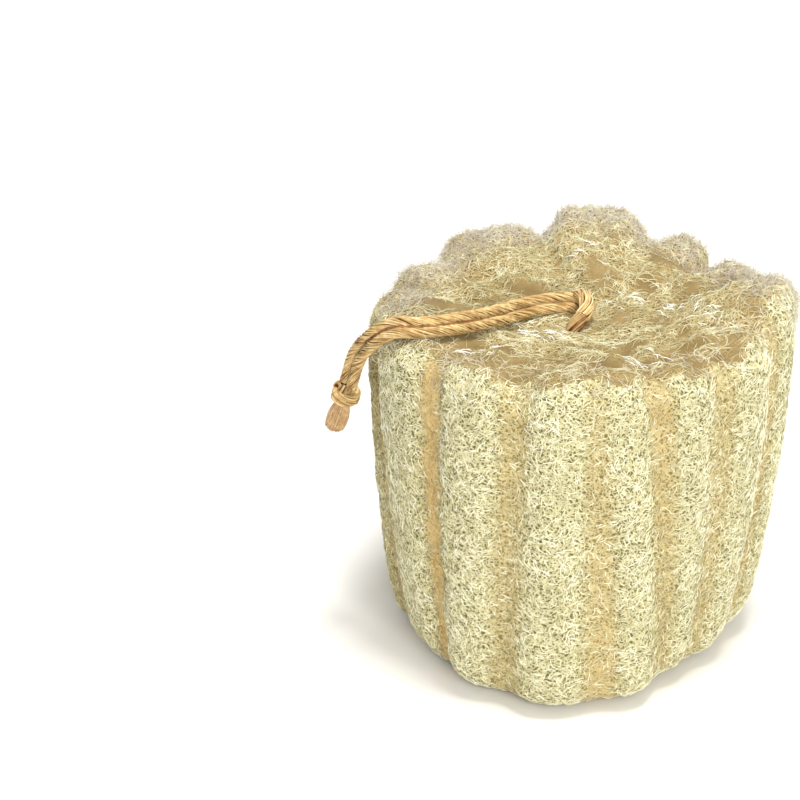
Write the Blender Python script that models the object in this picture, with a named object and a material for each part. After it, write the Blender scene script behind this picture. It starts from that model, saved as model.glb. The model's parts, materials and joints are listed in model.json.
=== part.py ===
"""A natural loofah sponge: a cut length of a dried sponge gourd, with the knotted cord it hangs by.

The sponge stands on its cut base. The origin is the middle of the base, +Z is up,
and -Y is the side that faces the viewer. Lengths are in metres and bearings in
degrees, counted anticlockwise from +X as seen from above.
"""

import bisect
import math
import random
from collections import namedtuple

import bmesh
import bpy
from mathutils import Matrix, Vector
from mathutils.geometry import interpolate_bezier

MM = 0.001

# The cut length of gourd
HEIGHT = 112 * MM
CREST_RADIUS = 64.5 * MM

# The section through a lobe's crest, as (radius, height) of Bezier knots with their two handles
BASE_EDGE = (49 * MM, 0)
WALL_FOOT = (61.5 * MM, 15 * MM)
WALL_HEAD = (64.5 * MM, HEIGHT - 9 * MM)
RIM = (57 * MM, HEIGHT)
DISH_CENTRE = (0, HEIGHT - 8 * MM)

# The lobes, anticlockwise. Each starts at a furrow: its bearing, half its width, and its depth at
# the rim and at the foot. Then how far the lobe's top stands above HEIGHT, and how far its rim
# and its foot reach past the section. All but the bearing are in millimetres.
Lobe = namedtuple("Lobe", "start width depth foot_depth rise rim foot")
LOBES = (
    Lobe(14, 7.0, 5.0, 5.0, -4.0, 0.5, -6.0),
    Lobe(45, 7.0, 6.0, 5.0, -2.5, 0.5, -3.0),
    Lobe(67, 7.0, 6.0, 5.0, 4.0, 0.0, -2.0),
    Lobe(102, 7.5, 7.5, 6.0, 0.0, 0.5, -2.0),
    Lobe(140, 7.0, 7.0, 6.0, -3.0, 0.0, -2.0),
    Lobe(163, 7.0, 5.0, 5.0, -3.0, 0.0, -1.0),
    Lobe(192, 6.5, 5.0, 5.0, 0.0, 0.0, -5.0),
    Lobe(223.5, 5.8, 5.5, 7.0, 0.5, 0.0, 0.0),
    Lobe(249.5, 8.5, 4.5, 4.0, 1.0, 0.0, 2.5),
    Lobe(275, 8.0, 1.0, 3.5, 1.0, 0.0, -2.0),
    Lobe(295, 7.5, 5.0, 5.0, 0.5, 0.0, -12.0),
    Lobe(314, 8.0, 3.0, 3.5, 0.0, 0.0, -12.5),
    Lobe(339, 7.5, 4.5, 4.5, 5.5, 1.0, -9.5),
)
FOOT_POWER = 1.5

# The front lobe keeps its width down to the foot: the furrows beside it turn away from FRONT there
FRONT = 271
FLARE = 3.5
FLARE_SPREAD = 24
DEEPEST = 7.5
CROWN = 1.2 * MM
RIM_NOTCH = 6.5 * MM
VALLEY = 5.0 * MM

# The net of fibre over the surface, larger than life
CELL_WIDTH = 6.4 * MM
TOP_CELL_WIDTH = 7.6 * MM
CELL_JITTER = 0.30
PIT = 2.4 * MM
TOP_PIT = 3.2 * MM
BASE_PIT = 2.0 * MM
FURROW_SMOOTH = 0.7
FURROW_REACH = 2.2 * MM
FIBRE_END = 2.2 * MM
FLAT_SPOT_RADIUS = 9 * MM
TOP_SPOT_RADIUS = 5 * MM
SEED = 20

# The cord: the middle line of the doubled run, from the collar over the left rim to the end knot
CORD = 3.0 * MM
GAP = 0.3 * MM
ROOM = 0.45 * MM
CORD_POINT_SPACING = 6.5 * MM
PAIR_LEAN = 45
RUN = [
    Vector(point) * MM
    for point in (
        (-4.6, 4.6, 107.3),
        (-9.4, 3.4, 107.7),
        (-15.3, 0.6, 107.9),
        (-20.9, -5.2, 108.9),
        (-26.4, -12.8, 110.8),
        (-31.8, -19.4, 112.6),
        (-37.2, -24.8, 114.1),
        (-42.7, -28.2, 115.0),
        (-48.3, -29.7, 115.2),
        (-54.4, -29.2, 115.0),
        (-60.1, -26.8, 111.2),
        (-63.9, -21.8, 105.9),
        (-66.4, -16.8, 100.6),
        (-68.3, -13.2, 94.9),
        (-69.6, -11.2, 89.9),
        (-70.2, -10.6, 87.7),
    )
]

# The collar: the bight that lies across the run, from its foot at the back to its foot at the front
COLLAR = 4.0 * MM
COLLAR_ROUTE = [
    Vector(point) * MM
    for point in (
        (-2.6, 10.4, 101.8),
        (-2.4, 10.2, 104.4),
        (-1.6, 8.6, 107.0),
        (0.0, 5.6, 109.0),
        (1.5, 2.2, 109.2),
        (1.8, -1.2, 108.4),
        (0.8, -4.2, 107.2),
        (-1.2, -6.2, 105.6),
        (-2.6, -7.0, 103.6),
        (-3.0, -7.2, 101.8),
    )
]
HITCH = Vector((-0.6, 4.4, 106.6)) * MM
HITCH_SIZE = Vector((6.6, 7.2, 6.6)) * MM

# The stitch: the bight under the fibres that joins the two feet of the collar
STITCH_ROUTE = [
    Vector(point) * MM
    for point in (
        (-3.0, -7.2, 101.5),
        (-3.0, -7.0, 98.0),
        (-2.8, -5.2, 94.6),
        (-2.7, -2.2, 92.2),
        (-2.6, 1.4, 91.3),
        (-2.6, 5.0, 92.0),
        (-2.5, 7.8, 94.4),
        (-2.6, 10.0, 98.0),
        (-2.6, 10.4, 101.5),
    )
]

# The end knot and the two cut ends below it
END_KNOT = Vector((-71.0, -10.0, 84.0)) * MM
END_KNOT_AXIS = Vector((0.22, 0.06, 0.97))
WRAP_RADIUS = 3.0 * MM
WRAP_THICKNESS = 3.2 * MM
WRAP_SPACING = 2.3 * MM
WRAP_TILT = 14
TAIL_START = Vector((-72.1, -10.1, 80.7)) * MM
TAIL_END = Vector((-74.7, -10.2, 73.4)) * MM
TAIL_SPREAD = 1.25 * MM
FUSE_VOXEL = 0.35 * MM

DRAWN_STEPS = 40


def material(name, colour, roughness):
    """A Principled surface of one colour."""
    made = bpy.data.materials.new(name)
    made.use_nodes = True
    shader = made.node_tree.nodes["Principled BSDF"]
    shader.inputs["Base Color"].default_value = (*colour, 1)
    shader.inputs["Roughness"].default_value = roughness
    shader.inputs["Metallic"].default_value = 0
    return made


def smoothstep(low, high, value):
    share = min(1, max(0, (value - low) / (high - low)))
    return share * share * (3 - 2 * share)


class Section:
    """The section through a lobe's crest, from the middle of the base out, up and in to the middle of the top."""

    def __init__(self):
        self.points = [(0.0, 0.0)]
        self.stretch(BASE_EDGE, BASE_EDGE, (0, 0))
        self.stretch(WALL_FOOT, (57.5 * MM, 1 * MM), (60.5 * MM, 7 * MM))
        self.stretch(WALL_HEAD, (63.5 * MM, 40 * MM), (65 * MM, 75 * MM))
        self.stretch(RIM, (64.5 * MM, HEIGHT - 3 * MM), (62 * MM, HEIGHT))
        self.stretch(DISH_CENTRE, (40 * MM, HEIGHT - 1.5 * MM), (20 * MM, HEIGHT - 8 * MM))
        self.along = [0.0]
        for before, after in zip(self.points, self.points[1:]):
            self.along.append(self.along[-1] + math.dist(before, after))
        self.length = self.along[-1]

    def stretch(self, end, first_handle, second_handle):
        """Adds one Bezier stretch from the last point to end."""
        start = self.points[-1]
        if end == first_handle:
            self.points.append(end)
            return
        curve = interpolate_bezier(
            Vector((*start, 0)),
            Vector((*first_handle, 0)),
            Vector((*second_handle, 0)),
            Vector((*end, 0)),
            DRAWN_STEPS,
        )
        self.points += [(p.x, p.y) for p in curve[1:]]

    def at(self, distance):
        """(radius, height) at a distance along the section."""
        distance = min(max(distance, 0), self.length)
        i = min(bisect.bisect_right(self.along, distance), len(self.along) - 1)
        share = (distance - self.along[i - 1]) / (self.along[i] - self.along[i - 1])
        (r0, z0), (r1, z1) = self.points[i - 1], self.points[i]
        return r0 + share * (r1 - r0), z0 + share * (z1 - z0)

    def distance_to(self, radius, from_top):
        """Where along the section the base or the top has that radius."""
        steps = range(len(self.points) - 1, 0, -1) if from_top else range(1, len(self.points))
        for i in steps:
            (r0, _), (r1, _) = self.points[i - 1], self.points[i]
            if min(r0, r1) <= radius <= max(r0, r1):
                share = (radius - r0) / (r1 - r0)
                return self.along[i - 1] + share * (self.along[i] - self.along[i - 1])
        raise ValueError("the section is nowhere that wide")


SECTION = Section()


def lobe_at(bearing):
    """The index of the lobe at a bearing, how far across it the bearing is (0 to 1), and its width in degrees."""
    bearing = (bearing - LOBES[0].start) % 360
    starts = [lobe.start - LOBES[0].start for lobe in LOBES] + [360]
    i = min(bisect.bisect_right(starts, bearing), len(LOBES)) - 1
    width = starts[i + 1] - starts[i]
    return i, (bearing - starts[i]) / width, width


def furrow_at(bearing, share_up):
    """(depth below the crest, 0 on a lobe to 1 in the middle of a furrow) at a bearing and a height."""
    i, across, width = lobe_at(bearing)
    near = LOBES[i if across < 0.5 else (i + 1) % len(LOBES)]
    away = math.radians(min(across, 1 - across) * width) * CREST_RADIUS
    notch = 1 - smoothstep(0, near.width * MM, away)
    depth = near.foot_depth + (near.depth - near.foot_depth) * share_up
    return depth * MM * notch + CROWN * (2 * across - 1) ** 2, notch * near.depth / DEEPEST


def across_lobes(bearing, field, width):
    """A lobe's value at a bearing, easing to the next lobe's over a share of each lobe's width."""
    i, across, _ = lobe_at(bearing)
    if across < 0.5:
        other, blend = i - 1, smoothstep(-width, width, across)
    else:
        other, blend = (i + 1) % len(LOBES), smoothstep(-width, width, 1 - across)
    return (getattr(LOBES[i], field) * blend + getattr(LOBES[other], field) * (1 - blend)) * MM


def surface_point(bearing, distance):
    """The point of the sponge's surface at a bearing and a distance along the section."""
    radius, height = SECTION.at(distance)
    share_out = radius / CREST_RADIUS
    share_up = height / HEIGHT
    depth, notch = furrow_at(bearing, share_up)
    upward = smoothstep(0.55, 1.0, share_up)
    outward = smoothstep(0.30, 0.85, share_out)
    reach = across_lobes(bearing, "foot", 0.5) * (1 - share_up) ** FOOT_POWER
    reach += across_lobes(bearing, "rim", 0.5) * share_up
    if height < WALL_FOOT[1]:
        depth *= smoothstep(0.55, 0.90, share_out)
    radius += reach * share_out - depth * outward
    height += upward * outward * across_lobes(bearing, "rise", 0.2)
    if upward > 0.9:
        in_from_rim = smoothstep(0.25, 0.6, share_out)
        height -= notch * (VALLEY * in_from_rim + (RIM_NOTCH - VALLEY) * outward)
    turn = math.radians(bearing + flare(bearing, share_up))
    return Vector((radius * math.cos(turn), radius * math.sin(turn), height))


def flare(bearing, share_up):
    """How far the surface turns away from the middle of the front, in degrees."""
    across = ((bearing - FRONT + 180) % 360 - 180) / FLARE_SPREAD
    return FLARE * (1 - 2 * share_up) * across * math.exp((1 - across * across) / 2)


class Net:
    """Rings of cells round the sponge, laid like staggered bricks, whose corners then ease into a web."""

    def __init__(self, rng):
        self.rng = rng
        self.corners = []
        self.neighbours = []
        self.cells = []
        first = SECTION.distance_to(FLAT_SPOT_RADIUS, from_top=False)
        last = SECTION.distance_to(TOP_SPOT_RADIUS, from_top=True)
        rim = SECTION.distance_to(RIM[0], from_top=True)
        edges = self.steps(first, rim, CELL_WIDTH) + self.steps(rim, last, TOP_CELL_WIDTH)[1:]
        self.rings = [self.ring(low, high) for low, high in zip(edges, edges[1:])]
        self.lay(edges)

    @staticmethod
    def steps(start, end, width):
        """Distances from start to end, about one cell's height apart."""
        row = width * math.sqrt(3) / 2
        count = max(1, round((end - start) / row))
        return [start + (end - start) * i / count for i in range(count + 1)]

    def ring(self, low, high):
        """The bearings of the side walls of one ring's cells."""
        radius, height = SECTION.at((low + high) / 2)
        on_top = height > HEIGHT * 0.9 and radius < RIM[0]
        width = TOP_CELL_WIDTH if on_top else CELL_WIDTH
        count = max(6, round(2 * math.pi * radius / width))
        start = self.rng.uniform(0, 360)
        pitch = 360 / count
        return [
            (start + pitch * (k + self.rng.uniform(-CELL_JITTER, CELL_JITTER))) % 360
            for k in range(count)
        ]

    def lay(self, edges):
        """Makes the corners along each edge between rings, and the cells between the edges."""
        lines = []
        for j, distance in enumerate(edges):
            feet = []
            if j > 0:
                feet += [(bearing, "below", k) for k, bearing in enumerate(self.rings[j - 1])]
            if j < len(self.rings):
                feet += [(bearing, "above", k) for k, bearing in enumerate(self.rings[j])]
            feet.sort()
            line = []
            for bearing, side, k in feet:
                line.append((len(self.corners), side, k))
                self.corners.append([bearing, distance])
                self.neighbours.append([])
            for (a, _, _), (b, _, _) in zip(line, line[1:] + line[:1]):
                self.neighbours[a].append(b)
                self.neighbours[b].append(a)
            lines.append(line)
        self.base_spot = [corner for corner, _, _ in lines[0]]
        self.top_spot = [corner for corner, _, _ in lines[-1]]
        for j, ring in enumerate(self.rings):
            low_feet = {k: i for i, (_, side, k) in enumerate(lines[j]) if side == "above"}
            high_feet = {k: i for i, (_, side, k) in enumerate(lines[j + 1]) if side == "below"}
            order = sorted(range(len(ring)), key=lambda k: ring[k])
            for k, after in zip(order, order[1:] + order[:1]):
                low = self.between(lines[j], low_feet[k], low_feet[after])
                high = self.between(lines[j + 1], high_feet[k], high_feet[after])
                self.cells.append((low + high[::-1], (edges[j] + edges[j + 1]) / 2))
                self.neighbours[low[0]].append(high[0])
                self.neighbours[high[0]].append(low[0])

    @staticmethod
    def between(line, start, end):
        """The corners of a line from start to end, both included, going round."""
        span = (end - start) % len(line) or len(line)
        return [line[(start + i) % len(line)][0] for i in range(span + 1)]

    def relax(self, rounds, share):
        """Eases each corner towards the middle of its neighbours. The corners round the two spots stay."""
        held = set(self.base_spot) | set(self.top_spot)
        for _ in range(rounds):
            moved = []
            for i, (bearing, distance) in enumerate(self.corners):
                if i in held:
                    moved.append([bearing, distance])
                    continue
                near = [self.corners[n] for n in self.neighbours[i]]
                turn = sum((b - bearing + 180) % 360 - 180 for b, _ in near) / len(near)
                step = sum(d for _, d in near) / len(near) - distance
                moved.append([bearing + share * turn, distance + share * step])
            self.corners = moved

    def draw_into_furrows(self, reach):
        """Moves the corners within reach of a furrow onto its line, so that the furrow shows as one channel."""
        held = set(self.base_spot) | set(self.top_spot)
        for i, (bearing, distance) in enumerate(self.corners):
            radius, _ = SECTION.at(distance)
            for lobe in LOBES:
                turn = (lobe.start - bearing + 180) % 360 - 180
                if i not in held and abs(math.radians(turn)) * radius < reach:
                    self.corners[i][0] = bearing + turn


def pit_depth(bearing, distance):
    """How deep a cell sinks below its walls. The furrows are smoother than the lobes."""
    radius, height = SECTION.at(distance)
    if height > HEIGHT * 0.9 and radius < RIM[0]:
        return TOP_PIT
    if height < 1 * MM:
        return BASE_PIT
    _, notch = furrow_at(bearing, height / HEIGHT)
    return PIT * (1 - FURROW_SMOOTH * notch)


def build_loofah():
    """The grown skeleton as one closed body: lobes and furrows, and a raised net with a pit in each cell."""
    rng = random.Random(SEED)
    net = Net(rng)
    net.relax(rounds=3, share=0.6)
    net.draw_into_furrows(FURROW_REACH)
    shape = bmesh.new()
    verts = []
    for bearing, distance in net.corners:
        place = surface_point(bearing, distance)
        radius, height = SECTION.at(distance)
        if height > HEIGHT * 0.95:
            place.z += FIBRE_END * rng.uniform(-0.5, 0.5)
        verts.append(shape.verts.new(place))
    pits = []
    for cell, distance in net.cells:
        face = shape.faces.new([verts[i] for i in cell])
        middle = face.calc_center_median()
        bearing = math.degrees(math.atan2(middle.y, middle.x))
        pits.append((face, pit_depth(bearing, distance)))
    shape.faces.new([verts[i] for i in reversed(net.base_spot)])
    pits.append((shape.faces.new([verts[i] for i in net.top_spot]), TOP_PIT))
    bmesh.ops.recalc_face_normals(shape, faces=shape.faces)
    for face, depth in pits:
        bmesh.ops.poke(shape, faces=[face], offset=-depth, center_mode="MEAN")
    return shape


def centre_on_origin(shape):
    """Slides the shape so that its bounding box stands centred on the origin."""
    low = Vector(min(v.co[axis] for v in shape.verts) for axis in range(3))
    high = Vector(max(v.co[axis] for v in shape.verts) for axis in range(3))
    middle = (low + high) / 2
    bmesh.ops.translate(shape, verts=shape.verts, vec=(-middle.x, -middle.y, -low.z))


def to_object(name, shape, finish):
    """Turns a bmesh into a named object with one material."""
    mesh = bpy.data.meshes.new(name)
    shape.to_mesh(mesh)
    shape.free()
    mesh.materials.append(finish)
    made = bpy.data.objects.new(name, mesh)
    bpy.context.scene.collection.objects.link(made)
    return made


def smooth_line(route, spacing):
    """Points at about even spacing along a smooth curve through the route's points."""
    drawn = [route[0]]
    for i in range(len(route) - 1):
        before, start, end, after = route[max(i - 1, 0)], route[i], route[i + 1], route[min(i + 2, len(route) - 1)]
        drawn += interpolate_bezier(
            start, start + (end - before) / 6, end - (after - start) / 6, end, DRAWN_STEPS
        )[1:]
    along = [0.0]
    for before, after in zip(drawn, drawn[1:]):
        along.append(along[-1] + (after - before).length)
    count = max(2, round(along[-1] / spacing))
    line = []
    for k in range(count + 1):
        distance = along[-1] * k / count
        i = min(max(bisect.bisect_right(along, distance), 1), len(along) - 1)
        line.append(drawn[i - 1].lerp(drawn[i], (distance - along[i - 1]) / (along[i] - along[i - 1])))
    return line


def beside(line, offset):
    """The line moved sideways by offset, along a direction that leans from level towards the line's upper side."""
    moved = []
    lean = math.radians(PAIR_LEAN)
    for i, point in enumerate(line):
        forward = (line[min(i + 1, len(line) - 1)] - line[max(i - 1, 0)]).normalized()
        level = Vector((0, 1, 0))
        level = (level - level.dot(forward) * forward).normalized()
        upper = level.cross(forward)
        moved.append(point + offset * (math.cos(lean) * level + math.sin(lean) * upper))
    return moved


def tube(name, line, diameter, finish):
    """A plain tube with closed ends along a line, as a curve object."""
    curve = bpy.data.curves.new(name, "CURVE")
    curve.dimensions = "3D"
    curve.bevel_depth = diameter / 2
    curve.bevel_resolution = 2
    curve.use_fill_caps = True
    spline = curve.splines.new("POLY")
    spline.points.add(len(line) - 1)
    for spot, point in zip(spline.points, line):
        spot.co = (*point, 1)
    curve.materials.append(finish)
    made = bpy.data.objects.new(name, curve)
    bpy.context.scene.collection.objects.link(made)
    return made


def ellipsoid(name, centre, size, finish):
    shape = bmesh.new()
    place = Matrix.Translation(centre) @ Matrix.Diagonal((*(size / 2), 1))
    bmesh.ops.create_uvsphere(shape, u_segments=24, v_segments=12, radius=1, matrix=place)
    return to_object(name, shape, finish)


def ring(name, centre, axis, radius, thickness, finish):
    """A closed ring of cord round an axis."""
    turn = axis.normalized().to_track_quat("Z", "Y")
    curve = bpy.data.curves.new(name, "CURVE")
    curve.dimensions = "3D"
    curve.bevel_depth = thickness / 2
    curve.bevel_resolution = 3
    spline = curve.splines.new("POLY")
    spline.points.add(31)
    spline.use_cyclic_u = True
    for k, spot in enumerate(spline.points):
        angle = 2 * math.pi * k / 32
        arm = turn @ Vector((radius * math.cos(angle), radius * math.sin(angle), 0))
        spot.co = (*(centre + arm), 1)
    curve.materials.append(finish)
    made = bpy.data.objects.new(name, curve)
    bpy.context.scene.collection.objects.link(made)
    return made


def evaluated_mesh(thing):
    """The object's mesh with its modifiers, as a new mesh."""
    graph = bpy.context.evaluated_depsgraph_get()
    return bpy.data.meshes.new_from_object(thing.evaluated_get(graph))


def fuse(name, pieces, faces, finish):
    """One closed solid of overlapping pieces, with about the given number of faces."""
    shape = bmesh.new()
    for piece in pieces:
        shape.from_mesh(evaluated_mesh(piece))
        bpy.data.objects.remove(piece)
    fused = to_object(name, shape, finish)
    remesh = fused.modifiers.new("fuse", "REMESH")
    remesh.mode = "VOXEL"
    remesh.voxel_size = FUSE_VOXEL
    mesh = evaluated_mesh(fused)
    fused.modifiers.clear()
    fused.data = mesh
    fewer = fused.modifiers.new("fewer", "DECIMATE")
    fewer.ratio = faces / (2 * len(mesh.polygons))
    fused.data = evaluated_mesh(fused)
    fused.modifiers.clear()
    return fused


def cut(body, cutter):
    """Cuts the cutter's volume out of the body and removes the cutter."""
    difference = body.modifiers.new("cut", "BOOLEAN")
    difference.operation = "DIFFERENCE"
    difference.solver = "EXACT"
    difference.object = cutter
    mesh = evaluated_mesh(body)
    body.modifiers.clear()
    body.data = mesh
    bpy.data.objects.remove(cutter)


def build_collar(name, clearance, finish):
    """The collar with the hitch that it lies on. A clearance makes the room for it."""
    line = smooth_line(COLLAR_ROUTE, 1.5 * MM)
    arch = tube(name + "_arch", line, COLLAR + 2 * clearance, finish)
    spread = Vector((2, 2, 2)) * clearance
    hitch = ellipsoid(name + "_hitch", HITCH, HITCH_SIZE + spread, finish)
    return [arch, hitch]


def build_end_knot(finish):
    """Two tilted wraps round the doubled cord."""
    axis = END_KNOT_AXIS.normalized()
    tilted = Matrix.Rotation(math.radians(WRAP_TILT), 3, "Y") @ axis
    wraps = [
        ring("wrap", END_KNOT + axis * side * WRAP_SPACING / 2, tilted, WRAP_RADIUS, WRAP_THICKNESS, finish)
        for side in (-1, 1)
    ]
    core = tube(
        "wrap_core",
        [END_KNOT - axis * WRAP_SPACING * 1.05, END_KNOT + axis * WRAP_SPACING * 1.05],
        2.1 * WRAP_RADIUS,
        finish,
    )
    return fuse("end_knot", [*wraps, core], 420, finish)


def build_tail(finish):
    """The two cut ends, pressed together into one stub."""
    along = (TAIL_END - TAIL_START).normalized()
    side = along.cross(Vector((0, 1, 0))).normalized() * TAIL_SPREAD
    ends = [
        tube("end", [TAIL_START + side * 0.75 * sign, TAIL_END + side * sign], CORD, finish)
        for sign in (-1, 1)
    ]
    return fuse("cord_tail", ends, 200, finish)


def build_tunnel(finish):
    """The room in the fibres for the collar's feet, the hitch and the stitch."""
    route = [COLLAR_ROUTE[-1], *STITCH_ROUTE, COLLAR_ROUTE[0]]
    passage = tube("passage", smooth_line(route, 1.5 * MM), CORD + 2 * ROOM, finish)
    return fuse("tunnel", [passage, *build_collar("room", ROOM, finish)], 1400, finish)


def main():
    for old in list(bpy.data.objects):
        bpy.data.objects.remove(old)
    fibre = material("loofah_fibre", (0.72, 0.63, 0.38), 0.85)
    cord = material("cord_fibre", (0.60, 0.42, 0.20), 0.80)
    shape = build_loofah()
    centre_on_origin(shape)
    bmesh.ops.triangulate(shape, faces=shape.faces)
    loofah = to_object("loofah", shape, fibre)
    cut(loofah, build_tunnel(cord))

    run = smooth_line(RUN, CORD_POINT_SPACING)
    apart = (CORD + GAP) / 2
    tube("cord_strand_front", beside(run, -apart), CORD, cord)
    tube("cord_strand_back", beside(run, apart), CORD, cord)
    tube("cord_stitch", smooth_line(STITCH_ROUTE, 3 * MM), CORD, cord)
    fuse("collar_knot", build_collar("collar", 0, cord), 500, cord)
    build_end_knot(cord)
    build_tail(cord)


main()
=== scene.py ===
# %% [markdown]
# # A natural loofah sponge
# A loofah is the dried skeleton of a gourd: thousands of thin fibres, grown into one
# springy net. This file dresses the plain solids of such a sponge until they look grown.
# Each step says what the real thing is, which ways there are to make it, and why one was taken.

import bisect
import json
import math
import random

import bmesh
import bpy
from mathutils import Matrix, Quaternion, Vector, noise
from mathutils.bvhtree import BVHTree
from mathutils.geometry import interpolate_bezier

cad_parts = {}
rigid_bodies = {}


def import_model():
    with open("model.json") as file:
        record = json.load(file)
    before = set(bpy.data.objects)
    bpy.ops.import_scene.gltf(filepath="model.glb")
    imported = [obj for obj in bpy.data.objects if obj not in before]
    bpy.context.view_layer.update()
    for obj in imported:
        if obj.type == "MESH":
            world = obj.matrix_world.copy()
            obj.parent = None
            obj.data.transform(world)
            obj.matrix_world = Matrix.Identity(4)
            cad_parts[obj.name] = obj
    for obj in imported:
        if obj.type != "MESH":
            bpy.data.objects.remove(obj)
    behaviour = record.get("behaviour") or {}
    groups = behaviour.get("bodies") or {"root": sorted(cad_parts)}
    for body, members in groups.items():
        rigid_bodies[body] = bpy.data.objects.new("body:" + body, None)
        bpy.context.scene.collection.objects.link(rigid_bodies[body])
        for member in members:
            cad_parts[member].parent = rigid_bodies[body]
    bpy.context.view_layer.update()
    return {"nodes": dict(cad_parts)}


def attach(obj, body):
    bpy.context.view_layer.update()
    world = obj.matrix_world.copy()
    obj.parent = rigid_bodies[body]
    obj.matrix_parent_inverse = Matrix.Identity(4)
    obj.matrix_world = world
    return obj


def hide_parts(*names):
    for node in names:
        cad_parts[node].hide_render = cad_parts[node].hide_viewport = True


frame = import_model()
MM = 0.001
print("solids:", sorted(frame["nodes"]))


# %% A helper that puts something into the scene
def added(name, data):
    """A new object for a camera, a light, a curve or a mesh, linked into the scene."""
    made = bpy.data.objects.new(name, data)
    bpy.context.scene.collection.objects.link(made)
    return made


# %% [markdown]
# ## The camera
# The photograph looks down on the sponge from the front. Its outline gives the angle: the cut
# top shows as a flat oval, so the view is about 27 degrees above level. A long lens at one
# metre keeps the sides nearly parallel. The sponge isn't in the middle of the picture, so the
# camera turns a little away from it instead of using shift, which would spoil the other views.

# %% The camera, aimed so that a point inside the sponge falls on its pixel
PICTURE = 800
SENSOR = 36
FOCAL_PIXELS = 3240
ELEVATION = math.radians(27.5)
DISTANCE = 1.0
NEAREST = 0.01
AIM = Vector((0, 0, 0.056))
AIM_PIXEL = (581, 460.5)


def aimed_camera():
    """A camera on the viewer's side that shows AIM at AIM_PIXEL."""
    backwards = Vector((0, -math.cos(ELEVATION), math.sin(ELEVATION)))
    eye = AIM + backwards * DISTANCE
    right = Vector((1, 0, 0))
    up = backwards.cross(right)
    yaw = math.atan((AIM_PIXEL[0] - PICTURE / 2) / FOCAL_PIXELS)
    pitch = math.atan((PICTURE / 2 - AIM_PIXEL[1]) / FOCAL_PIXELS)
    turn = Matrix.Rotation(yaw, 3, up)
    backwards, right = turn @ backwards, turn @ right
    turn = Matrix.Rotation(-pitch, 3, right)
    backwards, up = turn @ backwards, turn @ up
    data = bpy.data.cameras.new("camera")
    data.sensor_width = SENSOR
    data.lens = FOCAL_PIXELS / PICTURE * SENSOR
    data.clip_start = NEAREST
    camera = added("camera", data)
    place = Matrix((right, up, backwards)).transposed().to_4x4()
    place.translation = eye
    camera.matrix_world = place
    return camera


bpy.context.scene.camera = aimed_camera()
print("lens in millimetres:", round(bpy.context.scene.camera.data.lens, 1))

# %% [markdown]
# ## Tubes, hundreds at a time
# Everything here is a thread of some kind. Blender's curves suit threads: one curve object
# holds thousands of splines, and a small profile curve gives them all their thickness. The
# radius is kept at each point, so a thread can taper. Turning the curves into one mesh at
# the end keeps the piece light.


# %% A helper that turns lines into a mesh of tubes
GROUND = 0.3 * MM


def profile(sides):
    """A closed outline of radius 1 for a tube with that many sides."""
    curve = bpy.data.curves.new("profile", "CURVE")
    spline = curve.splines.new("POLY")
    spline.points.add(sides - 1)
    spline.use_cyclic_u = True
    for k, spot in enumerate(spline.points):
        angle = 2 * math.pi * k / sides
        spot.co = (math.cos(angle), math.sin(angle), 0, 1)
    return added("profile", curve)


def tubes(name, lines, sides, *finishes):
    """One mesh of closed tubes. Each line is (points, radii), or also has its finish's number."""
    outline = profile(sides)
    curve = bpy.data.curves.new(name, "CURVE")
    curve.dimensions = "3D"
    curve.bevel_mode = "OBJECT"
    curve.bevel_object = outline
    curve.use_fill_caps = True
    for finish in finishes:
        curve.materials.append(finish)
    for points, radii, *slot in lines:
        spline = curve.splines.new("POLY")
        spline.material_index = slot[0] if slot else 0
        spline.points.add(len(points) - 1)
        places = [c for p in points for c in (p[0], p[1], max(p[2], GROUND), 1)]
        spline.points.foreach_set("co", places)
        spline.points.foreach_set("radius", radii)
    threads = added(name + "_threads", curve)
    graph = bpy.context.evaluated_depsgraph_get()
    mesh = bpy.data.meshes.new_from_object(threads.evaluated_get(graph))
    mesh.name = name
    mesh.shade_smooth()
    for spare in (threads, outline):
        bpy.data.curves.remove(spare.data)
    made = added(name, mesh)
    triangles = sum(len(face.vertices) - 2 for face in mesh.polygons)
    print(name, "threads:", len(lines), "triangles:", triangles)
    return made


# %% [markdown]
# ## Finishes
# Dry plant fibre is matt and pale, from cream to straw, and never one even colour. The colour
# comes from noise on the object's own coordinates at two scales: wide patches of straw and
# cream, and short streaks along single fibres.


# %% A helper for finishes whose colour wanders between a few tones
FIRST_STOP = 0.36
LAST_STOP = 0.64
SHEEN = 0.25


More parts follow.
